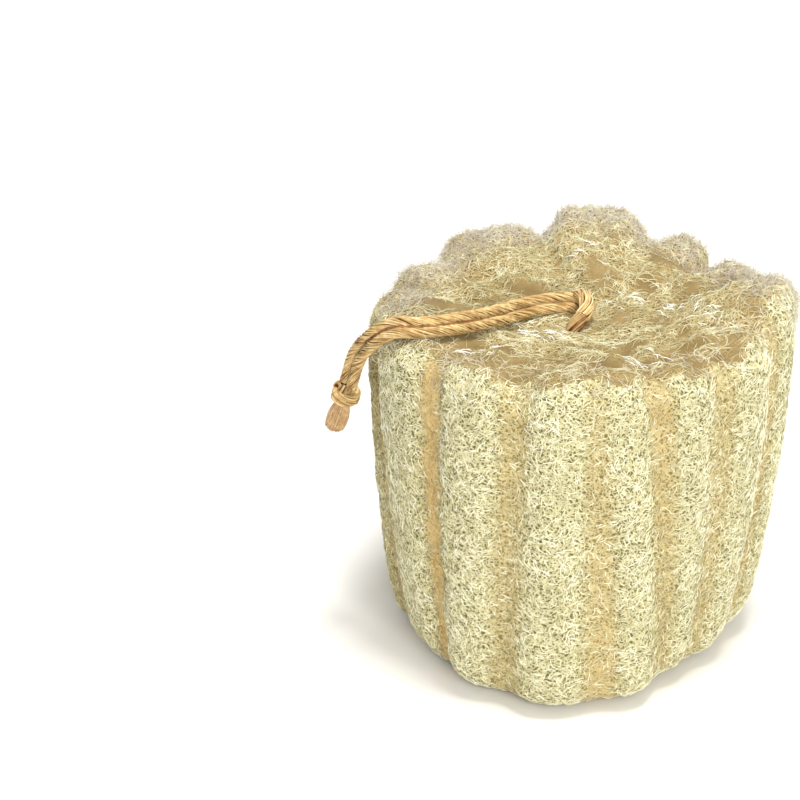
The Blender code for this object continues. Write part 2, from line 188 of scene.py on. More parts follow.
def finish_of(name, tones, wide, fine, roughness, fine_share=0.5):
    """A matt finish whose colour wanders between tones, in patches and in fine streaks."""
    made = bpy.data.materials.new(name)
    made.use_nodes = True
    nodes, links = made.node_tree.nodes, made.node_tree.links
    shader = nodes["Principled BSDF"]
    shader.inputs["Roughness"].default_value = roughness
    shader.inputs["Specular IOR Level"].default_value = SHEEN
    place = nodes.new("ShaderNodeTexCoord")
    mixed = nodes.new("ShaderNodeMix")
    mixed.data_type = "FLOAT"
    mixed.inputs["Factor"].default_value = fine_share
    for scale, detail, socket in ((wide, 3, "A"), (fine, 2, "B")):
        texture = nodes.new("ShaderNodeTexNoise")
        texture.inputs["Scale"].default_value = scale
        texture.inputs["Detail"].default_value = detail
        links.new(place.outputs["Object"], texture.inputs["Vector"])
        links.new(texture.outputs["Fac"], mixed.inputs[socket])
    ramp = nodes.new("ShaderNodeValToRGB")
    ramp.color_ramp.elements[0].position = FIRST_STOP
    ramp.color_ramp.elements[0].color = (*tones[0], 1)
    ramp.color_ramp.elements[1].position = LAST_STOP
    ramp.color_ramp.elements[1].color = (*tones[-1], 1)
    for k, tone in enumerate(tones[1:-1], start=1):
        share = k / (len(tones) - 1)
        stop = ramp.color_ramp.elements.new(FIRST_STOP + (LAST_STOP - FIRST_STOP) * share)
        stop.color = (*tone, 1)
    links.new(mixed.outputs["Result"], ramp.inputs["Fac"])
    links.new(ramp.outputs["Color"], shader.inputs["Base Color"])
    return made


CREAM = finish_of(
    "cream_fibre",
    [(0.63, 0.58, 0.35), (0.83, 0.795, 0.56), (0.93, 0.91, 0.72)],
    wide=60, fine=420, roughness=0.75,
)
WAN = finish_of(
    "wan_fibre",
    [(0.50, 0.44, 0.24), (0.72, 0.67, 0.42), (0.90, 0.87, 0.64)],
    wide=70, fine=420, roughness=0.7,
)
STRAW = finish_of(
    "straw_fibre",
    [(0.38, 0.28, 0.125), (0.52, 0.41, 0.20), (0.64, 0.53, 0.29)],
    wide=60, fine=420, roughness=0.8,
)
# Fawn: beside the furrows the fibres' tan, down the left flank painted shade.
FAWN = finish_of(
    "fawn_fibre",
    [(0.42, 0.36, 0.165), (0.58, 0.51, 0.275), (0.71, 0.65, 0.41)],
    wide=60, fine=420, roughness=0.8,
)
# Pale: the upper layer's fibres, lighter as a painted highlight where they catch the most light.
PALE_HIGHLIGHT = finish_of(
    "pale_highlight_fibre",
    [(0.80, 0.76, 0.50), (0.93, 0.91, 0.68), (0.98, 0.97, 0.83)],
    wide=70, fine=420, roughness=0.6,
)
# Near white: a painted highlight, the glints on the frayed bundles of the top.
GLINT = finish_of(
    "painted_glint_fibre",
    [(0.86, 0.86, 0.72), (0.94, 0.95, 0.86), (0.98, 0.99, 0.95)],
    wide=90, fine=420, roughness=0.6,
)
DOWN = finish_of(
    "downy_fibre",
    [(0.48, 0.42, 0.33), (0.66, 0.61, 0.50), (0.82, 0.78, 0.67)],
    wide=70, fine=420, roughness=0.8,
)
CORD = finish_of(
    "twisted_cord",
    [(0.41, 0.265, 0.105), (0.56, 0.385, 0.165), (0.70, 0.525, 0.255)],
    wide=150, fine=600, roughness=0.85, fine_share=0.45,
)
LIGHT_YARN = finish_of(
    "light_yarn",
    [(0.56, 0.40, 0.17), (0.80, 0.63, 0.34)],
    wide=150, fine=600, roughness=0.85, fine_share=0.45,
)
DARK_YARN = finish_of(
    "dark_yarn",
    [(0.30, 0.17, 0.06), (0.50, 0.34, 0.145)],
    wide=150, fine=600, roughness=0.85, fine_share=0.45,
)
# Dark reddish: painted shade, for the crease between the two strands and the collar's foot in its
# hole.
SHADE_YARN = finish_of(
    "painted_shade_yarn",
    [(0.12, 0.045, 0.015), (0.36, 0.18, 0.065)],
    wide=200, fine=600, roughness=0.85, fine_share=0.45,
)
# Near black: painted shade, for the dark gaps between a rope's yarns where its core shows.
CORE_SHADE = finish_of(
    "painted_shade_core",
    [(0.06, 0.02, 0.005), (0.14, 0.055, 0.015)],
    wide=150, fine=900, roughness=0.9,
)
ROPE_FINISHES = (CORD, CORE_SHADE, LIGHT_YARN, DARK_YARN, SHADE_YARN)
SHADE = ROPE_FINISHES.index(SHADE_YARN)
DARK = ROPE_FINISHES.index(DARK_YARN)
print("finishes:", CREAM.name, STRAW.name, PALE_HIGHLIGHT.name, DOWN.name, CORD.name)

# %% [markdown]
# ## The cord's line
# The sponge hangs by a doubled cord. It starts at the collar in the middle of the top, runs
# over the left rim and ends in a knot that hangs outside. The route is the one that the
# solids follow. A smooth curve goes through its points, and each strand runs a little to one
# side of it: the back strand leans on the front one.

# %% The route of the cord and its two strands
RUN = [
    Vector(point) * MM
    for point in (
        (-4.6, 4.6, 107.3),
        (-9.4, 3.4, 107.7),
        (-15.3, 0.6, 107.9),
        (-20.9, -5.2, 108.9),
        (-26.4, -12.8, 110.8),
        (-31.8, -19.4, 112.6),
        (-37.2, -24.8, 114.1),
        (-42.7, -28.2, 115.0),
        (-48.3, -29.7, 115.2),
        (-54.4, -29.2, 115.0),
        (-60.1, -26.8, 111.2),
        (-63.9, -21.8, 105.9),
        (-66.4, -16.8, 100.6),
        (-68.3, -13.2, 94.9),
        (-69.6, -11.2, 89.9),
        (-70.2, -10.6, 87.7),
    )
]
STRAND = 3.0 * MM
ROPE = 3.35 * MM
YARNS = 18
PITCH = 21 * MM
APART = 3.3 * MM
PAIR_LEAN = math.radians(45)
CURVE_STEPS = 24
LINE_STEP = 0.8 * MM


def smooth_line(route, spacing):
    """Points at about even spacing along a smooth curve through the route's points."""
    drawn = [route[0]]
    for i in range(len(route) - 1):
        before, after = route[max(i - 1, 0)], route[min(i + 2, len(route) - 1)]
        start, end = route[i], route[i + 1]
        drawn += interpolate_bezier(
            start, start + (end - before) / 6, end - (after - start) / 6, end, CURVE_STEPS
        )[1:]
    along = [0.0]
    for before, after in zip(drawn, drawn[1:]):
        along.append(along[-1] + (after - before).length)
    count = max(2, round(along[-1] / spacing))
    line = []
    for k in range(count + 1):
        distance = along[-1] * k / count
        i = min(max(bisect.bisect_right(along, distance), 1), len(along) - 1)
        share = (distance - along[i - 1]) / (along[i] - along[i - 1])
        line.append(drawn[i - 1].lerp(drawn[i], share))
    return line


def length_of(line):
    return sum((b - a).length for a, b in zip(line, line[1:]))


def beside(line, offset):
    """The line moved sideways along a direction that leans from level towards its upper side."""
    moved = []
    for i, point in enumerate(line):
        forward = (line[min(i + 1, len(line) - 1)] - line[max(i - 1, 0)]).normalized()
        level = Vector((0, 1, 0))
        level = (level - level.dot(forward) * forward).normalized()
        upper = level.cross(forward)
        moved.append(point + offset * (math.cos(PAIR_LEAN) * level + math.sin(PAIR_LEAN) * upper))
    return moved


middle = smooth_line(RUN, LINE_STEP)
front_line = beside(middle, -APART / 2)
back_line = beside(middle, APART / 2)
for line in (front_line, back_line):
    print("strand length in millimetres:", round(length_of(line) / MM, 1))

# %% [markdown]
# ## Rope from real yarns
# A twisted cord shows its yarns as fine slanting lines. A bump could fake them, but the cord
# crosses the outline of the sponge and is seen from close by. So the yarns are modelled: they
# wind round a core, side by side, and wander a little, as hemp does.


# %% A helper that lays the yarns of a rope along a line
YARN_FILL = 0.86
CORE_FILL = 0.97
YARN_FINISHES = (0, 0, 2, 3)


def frames_along(line):
    """For each point of a line, two directions across it that turn as little as possible."""
    side = Vector((0, 0, 1)).cross(line[1] - line[0])
    if side.length < 1e-7:
        side = Vector((0, 1, 0))
    side.normalize()
    spans = []
    for i in range(len(line)):
        forward = (line[min(i + 1, len(line) - 1)] - line[max(i - 1, 0)]).normalized()
        side = (side - side.dot(forward) * forward).normalized()
        spans.append((side, forward.cross(side)))
    return spans


def rope(line, thickness, yarns, pitch, rng):
    """A core, dark as painted shade, and a ring of yarns that wind round it, along a line, as
    (points, radii).
    """
    spans = frames_along(line)
    yarn_thick = thickness * 0.5 * math.sin(math.pi / yarns) * YARN_FILL
    yarn_out = thickness * 0.5 - yarn_thick
    along = [0.0]
    for before, after in zip(line, line[1:]):
        along.append(along[-1] + (after - before).length)
    # The core's near-black finish is painted shade, seen in the gaps between the yarns.
    threads = [(list(line), [yarn_out * CORE_FILL] * len(line), ROPE_FINISHES.index(CORE_SHADE))]
    for yarn in range(yarns):
        seed = Vector((rng.uniform(0, 99), rng.uniform(0, 99), 0))
        points, radii = [], []
        for point, (side, up), distance in zip(line, spans, along):
            wander = noise.noise(seed + Vector((0, 0, distance / (5 * MM))))
            turn = 2 * math.pi * (yarn / yarns + distance / pitch) + 0.35 * wander
            stand_off = noise.noise(seed + Vector((7, 0, distance / (7 * MM))))
            out = yarn_out * (1.0 + 0.16 * stand_off)
            points.append(point + side * math.cos(turn) * out + up * math.sin(turn) * out)
            radii.append(yarn_thick * (1 + 0.3 * wander))
        threads.append((points, radii, rng.choice(YARN_FINISHES)))
    return threads


# %% Helpers for what disturbs a rope: stray hairs, and yarns of painted shade in the crease of the pair
HAIR_STEP = 0.35 * MM
HAIR_THICK = 0.05 * MM
CREASE_THICK = 0.27 * MM
CREASE_RISE = 0.85 * MM


def stray_hairs(line, reach, count, rng):
    """Short hairs that stand off a rope."""
    hairs = []
    spans = frames_along(line)
    for _ in range(count):
        i = rng.randrange(len(line))
        side, up = spans[i]
        turn = rng.uniform(0, 2 * math.pi)
        outward = side * math.cos(turn) + up * math.sin(turn)
        forward = side.cross(up) * rng.choice((-1, 1))
        start = line[i] + outward * reach
        grow = (outward * rng.uniform(0.2, 0.6) + forward).normalized()
        hook = rng.uniform(-0.3, 0.3)
        points = [start]
        for _ in range(4):
            points.append(points[-1] + grow * HAIR_STEP)
            grow = (grow + outward * hook).normalized()
        hairs.append((points, [HAIR_THICK] * 4 + [0.4 * HAIR_THICK]))
    return hairs


def crease_shade_yarns(low, high):
    """Two dark reddish yarns of painted shade in the crease between the strands, from one share of
    the run to another.
    """
    first, last = round(low * len(middle)), round(high * len(middle))
    lines = []
    for shift in (-0.3, 0.3):
        points = []
        for i in range(first, last):
            apart = (back_line[i] - front_line[i]).normalized()
            forward = (middle[i + 1] - middle[i - 1]).normalized()
            upper = apart.cross(forward)
            if upper.y > 0:
                upper = -upper
            waver = shift + 0.5 * noise.noise(Vector((i / 5, shift, 0)))
            points.append(middle[i] + upper * CREASE_RISE + apart * waver * MM)
        lines.append((points, [CREASE_THICK] * len(points), SHADE))
    return lines


# %% The two strands
rng = random.Random(3)
strands = {}
for name, line in (("front", front_line), ("back", back_line)):
    yarns = rope(line, ROPE, YARNS, PITCH, rng) + stray_hairs(line, 1.5 * MM, 220, rng)
    if name == "front":
        yarns += crease_shade_yarns(0.34, 0.76)
    strands[name] = tubes("rope_" + name, yarns, 5, *ROPE_FINISHES)
    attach(strands[name], "root")
    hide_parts("cord_strand_" + name)

# %% [markdown]
# ## The end knot and the cut ends
# The two strands end in an overhand knot. What shows of it is a couple of turns round the pair,
# tilted as the knot was pulled tight. Below it the ends were cut and have fluffed into one tuft.

# %% The end knot
KNOT = Vector((-71.0, -10.0, 84.0)) * MM
KNOT_AXIS = Vector((0.22, 0.06, 0.97)).normalized()
POINTS_A_TURN = 26


def wraps(centre, axis, radius, pitch, turns, start, tilt):
    """The line of a cord wound round an axis, its turns tilted."""
    lay = axis.to_track_quat("Z", "Y")
    points = []
    count = round(turns * POINTS_A_TURN)
    for k in range(count + 1):
        angle = start + 2 * math.pi * turns * k / count
        rise = pitch * turns * (k / count - 0.5) + tilt * math.cos(angle)
        spot = Vector((radius * math.cos(angle), radius * math.sin(angle), rise))
        points.append(centre + lay @ spot)
    return points


knot_line = wraps(
    KNOT, KNOT_AXIS, radius=3.3 * MM, pitch=1.55 * MM, turns=2.1, start=0.6, tilt=0.7 * MM
)
knot_yarns = rope(knot_line, thickness=2.3 * MM, yarns=12, pitch=16 * MM, rng=rng)
for side in (-1, 1):
    offset = Vector((1.3 * MM * side, 0.4 * MM * side, 0))
    core = [KNOT + offset + KNOT_AXIS * MM * step for step in (3.6, 2, 1, 0, -1, -2, -3.2)]
    knot_yarns += rope(smooth_line(core, LINE_STEP), STRAND, YARNS, PITCH, rng)
end_knot = tubes("wound_end_knot", knot_yarns, 5, *ROPE_FINISHES)
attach(end_knot, "root")
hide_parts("end_knot")

# %% The tuft of cut ends
TUFT_START = Vector((-72.0, -10.1, 81.0)) * MM
TUFT_END = Vector((-75.3, -10.2, 72.0)) * MM
TUFT_HALF_WIDTH = 3.1 * MM
TUFT_HALF_DEPTH = 1.5 * MM
TUFT_HAIRS = 330
TUFT = finish_of(
    "tuft_fibre",
    [(0.38, 0.24, 0.11), (0.53, 0.35, 0.18), (0.65, 0.46, 0.26)],
    wide=200, fine=900, roughness=0.85,
)


def tuft(count, rng):
    """Fine fibres from the knot to the cut, spread into a flattened bundle."""
    along = (TUFT_END - TUFT_START).normalized()
    wide = along.cross(Vector((0, 1, 0))).normalized()
    deep = along.cross(wide)
    hairs = []
    for _ in range(count):
        turn = rng.uniform(0, 2 * math.pi)
        out = math.sqrt(rng.random())
        across = TUFT_HALF_WIDTH * out * math.cos(turn)
        over = TUFT_HALF_DEPTH * out * math.sin(turn)
        bend = rng.uniform(-0.35, 0.35) * MM
        length = (TUFT_END - TUFT_START).length * rng.uniform(0.96, 1.03)
        length *= 1.06 - 0.14 * out * out
        points = []
        for k in range(8):
            share = k / 7
            spread = 0.70 + 0.30 * math.sin(0.75 * math.pi * share)
            wave = bend * math.sin(math.pi * share)
            aside = wide * (across * spread + wave) + deep * over * spread
            points.append(TUFT_START + along * length * share + aside)
        hairs.append((points, [0.17 * MM] * 7 + [0.08 * MM]))
    return hairs


cut_ends = tubes("cut_ends", tuft(TUFT_HAIRS, rng), 4, TUFT)
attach(cut_ends, "root")
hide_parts("cord_tail")

# %% [markdown]
# ## The collar
# In the middle of the top the cord's bight lies across the two strands and turns down into the
# fibres. Its foot is painted dark as shade, where it sits in a hole that it has pulled open.

# %% The collar
COLLAR_ROUTE = [
    Vector(point) * MM
    for point in (
        (-2.6, 10.4, 101.8),
        (-2.4, 10.2, 104.4),
        (-1.6, 8.6, 107.0),
        (0.0, 5.6, 109.0),
        (1.5, 2.2, 109.2),
        (1.8, -1.2, 108.4),
        (0.8, -4.2, 107.2),
        (-1.2, -6.2, 105.6),
        (-2.6, -7.0, 103.6),
        (-3.0, -7.2, 101.8),
    )
]
COLLAR_PITCH = 45 * MM
FOOT_FROM = 0.72
collar_line = smooth_line(COLLAR_ROUTE, 0.7 * MM)
turn_point = round(len(collar_line) * FOOT_FROM)
collar_yarns = rope(collar_line[: turn_point + 1], 4.7 * MM, YARNS, COLLAR_PITCH, rng)
foot = rope(collar_line[turn_point:], 4.6 * MM, YARNS, COLLAR_PITCH, rng)
# The foot's yarns take the reddish and dark finishes: painted shade where it sits in its hole.
collar_yarns += [(points, radii, rng.choice((SHADE, DARK, DARK))) for points, radii, _ in foot]
collar_yarns += stray_hairs(collar_line, 1.9 * MM, 60, rng)
for line in (front_line, back_line):
    into = (line[0] - line[2]).normalized()
    ending = [line[0] + into * reach * MM for reach in (-0.5, 1.5, 3)]
    ending[-1] += Vector((0, 0, -0.8 * MM))
    collar_yarns += rope(smooth_line(ending, LINE_STEP), ROPE, YARNS, PITCH, rng)
collar = tubes("rope_collar", collar_yarns, 5, *ROPE_FINISHES)
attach(collar, "root")
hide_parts("collar_knot")

# %% The stitch inside keeps its solid and gets the cord's finish
stitch = bpy.data.objects["cord_stitch"]
stitch.data.materials.clear()
stitch.data.materials.append(CORD)
print("stitch finish:", stitch.data.materials[0].name)

# %% [markdown]
# ## The body under the net
# The solid has a net of big raised cells, which stands for fibres too fine for it. On the real
# sponge they are a third of a millimetre thick. So a copy of the solid is remeshed and eased
# until only its lobes and furrows are left, and real fibres are grown on that. It stays as the
# dense matter behind the fibres.

# %% Where the furrows lie, as in the solid
HEIGHT = 112 * MM
FRONT = 271
FLARE = 3.5
FLARE_SPREAD = 24

# Each furrow: bearing, half the width in millimetres, how plain it is at the rim and at the foot
FURROWS = (
    (14, 5.0, 0.35, 0.3),
    (45, 4.6, 0.45, 0.3),
    (67, 4.6, 0.3, 0.4),
    (102, 5.0, 0.5, 0.3),
    (140, 4.8, 0.35, 0.45),
    (163, 4.6, 0.4, 0.3),
    (192, 5.0, 0.6, 0.5),
    (223.5, 4.6, 1.0, 1.0),
    (249.5, 5.6, 0.22, 0.22),
    (275, 5.0, 0.1, 0.4),
    (295, 4.8, 0.35, 0.15),
    (314, 5.0, 0.2, 0.2),
    (339, 5.0, 0.3, 0.3),
)


def smoothstep(low, high, value):
    share = min(1, max(0, (value - low) / (high - low)))
    return share * share * (3 - 2 * share)


def unflared(bearing, share_up):
    """The bearing before the front lobe was widened at the foot, as in the solid."""
    before = bearing
    for _ in range(3):
        across = ((before - FRONT + 180) % 360 - 180) / FLARE_SPREAD
        before = bearing - FLARE * (1 - 2 * share_up) * across * math.exp((1 - across * across) / 2)
    return before


def furrow_share(point, wider=1):
    """1 in the middle of a plain furrow, 0 on a lobe. A wider share takes in the lobes' flanks."""
    share_up = min(1, max(0, point.z / HEIGHT))
    bearing = unflared(math.degrees(math.atan2(point.y, point.x)), share_up)
    radius = max(math.hypot(point.x, point.y), 1 * MM)
    most = 0
    for start, half_width, at_rim, at_foot in FURROWS:
        away = math.radians(abs((start - bearing + 180) % 360 - 180)) * radius
        reach = half_width * MM * wider
        if away < reach:
            plain = at_foot + (at_rim - at_foot) * share_up
            most = max(most, plain * (1 - smoothstep(0.4 * reach, reach, away)))
    return most


# %% Which part of the side is tan, down the left flank as painted shade, and what counts as the cut top
def flank_share(point):
    """1 where the side is tan rather than cream: beside the furrows, and down the left flank as
    painted shade.
    """
    bearing = math.degrees(math.atan2(point.y, point.x)) % 360
    # Down the left flank the tan is painted shade, on the side away from the lights.
    left = 1 - smoothstep(6, 20, abs(bearing - 184))
    patch = 0.75 + 0.5 * noise.noise(point / (13 * MM))
    return min(1, max(min(0.9, 4 * furrow_share(point, 1.3)), left) * patch)


def top_share(normal, point):
    """1 on the cut top, 0 on the base, the side and the rounded shoulder that leans outwards."""
    outward = (normal.x * point.x + normal.y * point.y) / max(math.hypot(point.x, point.y), 1 * MM)
    faces_up = smoothstep(0.28, 0.62, normal.z - 0.8 * max(0, outward))
    return faces_up * smoothstep(0.7, 0.85, point.z / HEIGHT)


# %% The bare hollows of the cut top
# Each hollow: its middle, its two radii and the turn of its long axis in degrees
HOLLOWS = (
    (-34, 3, 13, 5, -10),
    (-36, -26, 10, 3.5, 5),
    (6, 26, 4, 9, 15),
    (-14, 15, 9, 4, 0),
    (31, -32, 9, 4, 20),
    (22, 24, 3, 9, -10),
    (34, 20, 3, 8, -20),
    (4, -24, 8, 3, 0),
    (-22, -40, 11, 3.5, -12),
    (8, -45, 13, 3.5, 5),
    (36, -42, 8, 3, 30),
)


def cluster_share(point):
    """1 where the cut top's fibres lie close, 0 in its bare hollows."""
    share = smoothstep(-0.42, -0.10, noise.noise(point / (8 * MM)))
    share *= 1 - 0.5 * smoothstep(26 * MM, 38 * MM, -point.y)
    for x, y, along, across, turn in HOLLOWS:
        away = Vector((point.x - x * MM, point.y - y * MM))
        away = Matrix.Rotation(-math.radians(turn), 2) @ away
        far = math.hypot(away.x / (along * MM), away.y / (across * MM))
        share *= smoothstep(0.55, 1.25, far + 0.3 * noise.noise(point / (4 * MM)))
    return share


# %% Copy, merge, remesh and ease the solid
VOXEL = 1.8 * MM
EASINGS = 15


def evaluated_mesh(thing):
    graph = bpy.context.evaluated_depsgraph_get()
    return bpy.data.meshes.new_from_object(thing.evaluated_get(graph))


def eased_body():
    """The sponge's main form without the net of the solid."""
    shape = bmesh.new()
    shape.from_mesh(bpy.data.objects["loofah"].data)
    bmesh.ops.remove_doubles(shape, verts=shape.verts, dist=1e-6)
    mesh = bpy.data.meshes.new("fibre_mass")
    shape.to_mesh(mesh)
    shape.free()
    mesh.materials.clear()
    body = added("fibre_mass", mesh)
    remesh = body.modifiers.new("remesh", "REMESH")
    remesh.mode = "VOXEL"
    remesh.voxel_size = VOXEL
    ease = body.modifiers.new("ease", "SMOOTH")
    ease.factor = 0.5
    ease.iterations = EASINGS
    body.data = evaluated_mesh(body)
    body.modifiers.clear()
    return body


body = eased_body()
print("body under the net:", len(body.data.vertices), "vertices")


# %% Push the eased body out again and give its top lumps and hollows
LUMP_SIZE, LUMP_RISE = 11 * MM, 2.0 * MM
GRAIN_SIZE, GRAIN_RISE = 3.5 * MM, 0.35 * MM
SWELL = 0.45 * MM
NOTCH_FILL = 1.2 * MM
BODY_GROUND = 0.25 * MM


def shape_body(body):
    """Moves each vertex along its normal: out on the side, in soft lumps on the top."""
    shape = bmesh.new()
    shape.from_mesh(body.data)
    moves = []
    for vert in shape.verts:
        on_top = top_share(vert.normal, vert.co)
        lump = noise.noise(vert.co / LUMP_SIZE) * LUMP_RISE * on_top
        grain = noise.noise(vert.co / GRAIN_SIZE) * GRAIN_RISE
        notch = furrow_share(vert.co) * (1 - on_top)
        moves.append(vert.normal * (SWELL + lump + grain + NOTCH_FILL * notch))
    for vert, move in zip(shape.verts, moves):
        vert.co += move
        vert.co.z = max(vert.co.z, BODY_GROUND)
    shape.to_mesh(body.data)
    shape.free()
    body.data.shade_smooth()


shape_body(body)
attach(body, "root")

# %% Keep on the body, for its finish, where each kind of surface lies
def keep(name, value_at):
    """Stores a value for each vertex of the body."""
    marks = body.data.attributes.new(name, "FLOAT", "POINT")
    marks.data.foreach_set("value", [value_at(vert.co, vert.normal) for vert in body.data.vertices])


def furrow_mark(point, normal):
    """The furrows' share, with ragged edges and none on the top."""
    ragged = 1 + 0.8 * noise.noise(point / (2.5 * MM))
    return min(1, furrow_share(point) * (1 - top_share(normal, point)) * ragged)


def ash_mark(point, normal):
    """1 on the outer part of the top's back half, which is greyer."""
    outer = smoothstep(40 * MM, 58 * MM, math.hypot(point.x, point.y))
    return 0.6 * outer * smoothstep(-20 * MM, 15 * MM, point.y) * top_share(normal, point)


keep("furrow", furrow_mark)
keep("top", lambda point, normal: top_share(normal, point))
keep("cluster", lambda point, normal: cluster_share(point))
# The flank value also paints the left flank tan, as shade.
keep("flank", lambda point, normal: flank_share(point))
keep("ash", ash_mark)
print("values kept on the body:", sorted(marks.name for marks in body.data.attributes))

# %% [markdown]
# ## The body's finish
# Behind the grown fibres lies a still finer weave, with slits between its threads whose dark is
# painted shade. Modelled threads would be too many, so a finish draws it: a soft noise has its
# middle value along winding lines, and the nearest of three such sets of lines gives the weave.
# The values kept on the body say where it is ochre, tan, grey or bare; the tan down the left
# flank is painted shade.


# %% The body's finish
# For each weave, how far from its lines a tone lies: slits, ochre, tangle, ashen and fawn
# Every weave darkens away from its lines: that dark is painted shade in the slits.
WEAVES = (
    [(0.015, (0.60, 0.56, 0.34)), (0.05, (0.36, 0.325, 0.155)), (0.10, (0.13, 0.118, 0.045))],
    [(0.01, (0.63, 0.47, 0.205)), (0.05, (0.56, 0.40, 0.165)), (0.11, (0.44, 0.29, 0.105))],
    [(0.015, (0.45, 0.36, 0.175)), (0.045, (0.30, 0.225, 0.09)), (0.09, (0.13, 0.092, 0.035))],
    [(0.012, (0.52, 0.46, 0.37)), (0.045, (0.37, 0.31, 0.235)), (0.09, (0.22, 0.175, 0.13))],
    [(0.015, (0.50, 0.43, 0.215)), (0.05, (0.34, 0.28, 0.125)), (0.10, (0.15, 0.115, 0.042))],
)
BARE = [(0.35, (0.215, 0.15, 0.058)), (0.65, (0.31, 0.225, 0.096))]
WEAVE_DEPTH = 0.35 * MM


def mass_finish():
    """Ochre in the furrows, tan on the top, and on the lobes a fine tangle with slits of painted
    shade.
    """
    made = bpy.data.materials.new("fibre_mass")
    made.use_nodes = True
    nodes, links = made.node_tree.nodes, made.node_tree.links
    shader = nodes["Principled BSDF"]
    shader.inputs["Roughness"].default_value = 0.85
    shader.inputs["Specular IOR Level"].default_value = 0.15
    place = nodes.new("ShaderNodeTexCoord")

    def texture(scale, detail):
        found = nodes.new("ShaderNodeTexNoise")
        found.inputs["Scale"].default_value = scale
        found.inputs["Detail"].default_value = detail
        links.new(place.outputs["Object"], found.inputs["Vector"])
        return found.outputs["Fac"]

    def arithmetic(operation, first, second):
        found = nodes.new("ShaderNodeMath")
        found.operation = operation
        for socket, value in zip(found.inputs, (first, second)):
            if isinstance(value, (int, float)):
                socket.default_value = value
            else:
                links.new(value, socket)
        return found.outputs["Value"]

    def away_from_line(size, shift):
        """0 along the winding lines on which a soft noise has its middle value, more off them."""
        moved = nodes.new("ShaderNodeVectorMath")
        moved.operation = "ADD"
        moved.inputs[1].default_value = shift
        links.new(place.outputs["Object"], moved.inputs[0])
        found = nodes.new("ShaderNodeTexNoise")
        found.inputs["Scale"].default_value = 1 / size
        found.inputs["Detail"].default_value = 0
        links.new(moved.outputs["Vector"], found.inputs["Vector"])
        above = arithmetic("SUBTRACT", found.outputs["Fac"], 0.5)
        below = arithmetic("SUBTRACT", 0.5, found.outputs["Fac"])
        return arithmetic("MAXIMUM", above, below)

    def ramp(value, stops):
        found = nodes.new("ShaderNodeValToRGB")
        elements = found.color_ramp.elements
        elements[0].position, elements[0].color = stops[0][0], (*stops[0][1], 1)
        elements[1].position, elements[1].color = stops[-1][0], (*stops[-1][1], 1)
        for position, tone in stops[1:-1]:
            elements.new(position).color = (*tone, 1)
        links.new(value, found.inputs["Fac"])
        return found.outputs["Color"]

    def blend(share, low, high):
        found = nodes.new("ShaderNodeMix")
        found.data_type = "RGBA"
        links.new(share, found.inputs["Factor"])
        links.new(low, found.inputs["A"])
        links.new(high, found.inputs["B"])
        return found.outputs["Result"]

    def stored(name):
        found = nodes.new("ShaderNodeAttribute")
        found.attribute_name = name
        return found.outputs["Fac"]

    web = away_from_line(1.25 * MM, (0, 0, 0))
    for k, size in enumerate((1.1, 1.45), start=1):
        web = arithmetic("MINIMUM", web, away_from_line(size * MM, (0.37 * k, 0.19 * k, 0.53 * k)))
    slits, ochre, tangle, ashen, fawn = (ramp(web, stops) for stops in WEAVES)
    bare = ramp(texture(120, 4), BARE)
    # The fawn weave beside the furrows and down the left flank, where it is painted shade.
    side = blend(stored("furrow"), blend(stored("flank"), slits, fawn), ochre)
    top = blend(stored("ash"), blend(stored("cluster"), bare, tangle), ashen)
    links.new(blend(stored("top"), side, top), shader.inputs["Base Color"])
    bump = nodes.new("ShaderNodeBump")
    bump.inputs["Strength"].default_value = 0.5
    bump.inputs["Distance"].default_value = WEAVE_DEPTH
    bump.invert = True
    links.new(arithmetic("MINIMUM", arithmetic("MULTIPLY", web, 10), 1), bump.inputs["Height"])
    links.new(bump.outputs["Normal"], shader.inputs["Normal"])
    return made


body.data.materials.append(mass_finish())
print("body finish:", body.data.materials[0].name)

# %% [markdown]
# ## Growing fibres
# Hair tools would strew straight hairs, and a displaced texture would stay flat. Real loofah
# fibres creep over the surface, curve, cross and join. So each fibre starts at a random spot,
# walks a step at a time, and is put back on the surface after each step. Its direction follows
# a slow swirl, so that neighbours run together as they do on the gourd.

# %% Helpers that grow fibres over the body
shape = bmesh.new()
shape.from_mesh(body.data)
surface = BVHTree.FromBMesh(shape)
shape.free()


def spots(count, wanted, rng):
    """Random spots on the body, even by area; wanted(place, normal) says how likely each is."""
    faces = body.data.polygons
    totals = []
    total = 0.0
    for face in faces:
        total += face.area
        totals.append(total)
    found = []
    while len(found) < count:
        face = faces[bisect.bisect_left(totals, rng.uniform(0, total))]
        corners = [body.data.vertices[i].co for i in face.vertices]
        a, b = rng.random(), rng.random()
        first, second = corners[1] - corners[0], corners[-1] - corners[0]
        place = corners[0] + first * a + second * b
        if rng.random() < wanted(place, face.normal):
            found.append((place, face.normal.copy()))
    return found


def creep(place, heading, steps, step, lift, wobble, bend, rng):
    """Points of a fibre that walks over the body at a height that lift(share) gives."""
    points = []
    for k in range(steps + 1):
        spot, normal, _, _ = surface.find_nearest(place)
        if spot is None:
            break
        points.append(spot + normal * lift(k / steps))
        heading = (heading - heading.dot(normal) * normal).normalized()
        heading.rotate(Quaternion(normal, bend + rng.gauss(0, wobble)))
        place = spot + heading * step
    return points


SWIRL_SIZE = 8 * MM


def swirl(place, normal, spread, rng):
    """A direction over the surface: a slow swirl, either side of level."""
    around = Vector((0, 0, 1)).cross(normal)
    if around.length < 0.2:
        around = Vector((1, 0, 0)).cross(normal)
    around.normalize()
    angle = noise.noise(place / SWIRL_SIZE) * 3.6 + rng.gauss(0, spread)
    around.rotate(Quaternion(normal, angle + rng.choice((0, math.pi))))
    return around


